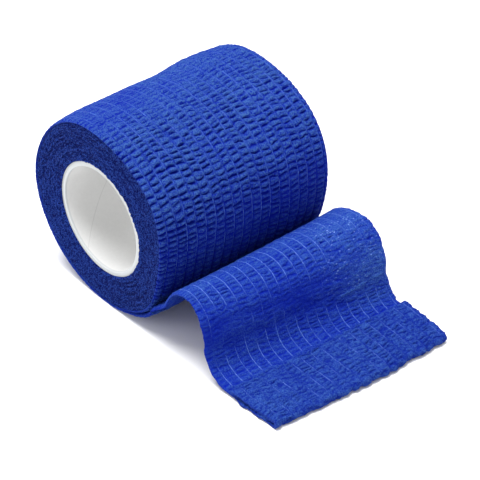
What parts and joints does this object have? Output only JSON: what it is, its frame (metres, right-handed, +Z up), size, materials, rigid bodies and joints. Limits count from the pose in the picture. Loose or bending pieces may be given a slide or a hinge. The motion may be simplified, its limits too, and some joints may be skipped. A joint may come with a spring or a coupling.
{
  "type": "cohesive bandage roll",
  "caption": "Elastic self-clinging bandage wound on a tube, part unrolled: the loose end rises in a hump beside the roll, then lies flat, its tip folded back.",
  "frame": {"origin": "on the table, in the middle of the flat spot that the roll stands on, halfway along the roll", "axes": "+X along the roll's axis, -Y the way the loose end runs, +Z up"},
  "size_m": [0.0507, 0.0889, 0.0473],
  "materials": {
    "cloth": "matt crinkled non-woven with fine elastic threads along its length",
    "tube": "smooth white, faintly satin"
  },
  "bodies": {
    "root": {"winding": "cloth", "loose_end": "cloth", "core_tube": "tube"}
  },
  "joints": []
}
